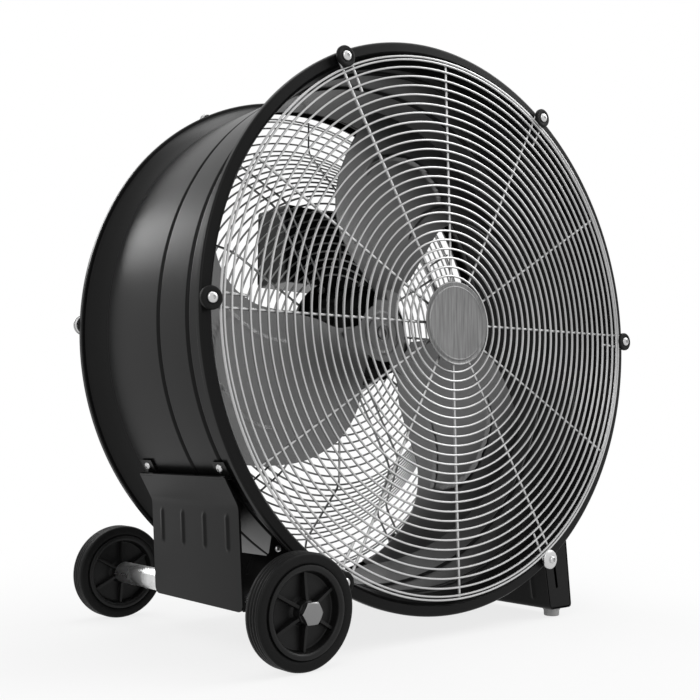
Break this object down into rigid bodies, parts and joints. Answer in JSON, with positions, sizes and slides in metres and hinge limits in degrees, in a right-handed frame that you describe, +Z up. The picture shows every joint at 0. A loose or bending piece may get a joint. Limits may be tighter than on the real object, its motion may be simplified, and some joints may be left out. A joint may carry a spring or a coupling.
{
  "type": "drum fan",
  "caption": "Portable drum fan: a steel drum with wire guards round a pressed three-blade rotor, on a wheeled bracket and a foot bracket.",
  "frame": {"origin": "on the floor, in the middle of the overall length and width; the drum's middle is 25.6 mm in front of it", "axes": "+Z up; the front of the fan faces -Y; the wheels are on the -X side; the drum's and the axle's axes run along Y"},
  "size_m": [0.709, 0.4594, 0.724],
  "materials": {
    "black_powder_coat": "semi-gloss black powder coat",
    "zinc_wire": "zinc-grey coated steel wire",
    "brushed_badge": "brushed aluminium disc with a turned edge",
    "black_rubber": "matt black rubber",
    "zinc_screw": "zinc-plated steel",
    "motor_black": "matt black motor paint",
    "steel_shaft": "turned steel",
    "satin_aluminium": "satin pressed aluminium",
    "black_plastic": "moulded black plastic",
    "black_tread": "black moulded rubber tread",
    "bright_tube": "bright zinc-plated tube",
    "bright_bolt": "bright steel",
    "grey_foot": "light grey rubber"
  },
  "bodies": {
    "frame": {"drum_shell": "black_powder_coat", "front_grille": "zinc_wire", "rear_grille": "zinc_wire", "hub_badge": "brushed_badge", "front_clip_sleeves": "black_rubber", "front_clip_washers": "black_rubber", "steel_clip_washer": "zinc_screw", "front_clip_screws": "zinc_screw", "rear_clip_washers": "zinc_screw", "rear_clip_screws": "zinc_screw", "motor_mount_plate": "black_powder_coat", "motor_body": "motor_black", "motor_rear_bell": "motor_black", "motor_front_bell": "motor_black", "motor_mount_screws": "zinc_screw", "control_box": "black_powder_coat", "box_cover": "black_powder_coat", "speed_switch": "black_plastic", "box_screws": "zinc_screw", "cord_gland": "black_plastic", "axle_tube": "bright_tube", "axle_tube_plugs": "steel_shaft", "axle_bolt": "bright_bolt", "axle_nut": "bright_bolt", "wheel_bracket": "black_powder_coat", "foot_bracket": "black_powder_coat", "foot_pads": "grey_foot"},
    "rotor": {"motor_shaft": "steel_shaft", "fan_rotor": "satin_aluminium", "rotor_boss": "satin_aluminium"},
    "front_wheel": {"front_tyre": "black_tread", "front_wheel_hub": "black_plastic"},
    "rear_wheel": {"rear_tyre": "black_tread", "rear_wheel_hub": "black_plastic"},
    "knob": {"speed_knob": "black_plastic"}
  },
  "joints": [
    {"name": "rotor_spin", "type": "hinge", "parent": "frame", "child": "rotor", "pos_m": [0, 0, 0.374], "axis": [0, 1, 0], "continuous": true},
    {"name": "front_wheel_spin", "type": "hinge", "parent": "frame", "child": "front_wheel", "pos_m": [-0.2466, -0.2065, 0.0594], "axis": [0, 1, 0], "continuous": true},
    {"name": "rear_wheel_spin", "type": "hinge", "parent": "frame", "child": "rear_wheel", "pos_m": [-0.2466, 0.2065, 0.0594], "axis": [0, 1, 0], "continuous": true},
    {"name": "speed_knob_turn", "type": "hinge", "parent": "frame", "child": "knob", "pos_m": [0, 0.1195, 0.5], "axis": [0, 1, 0], "range_deg": [0, 180]}
  ]
}
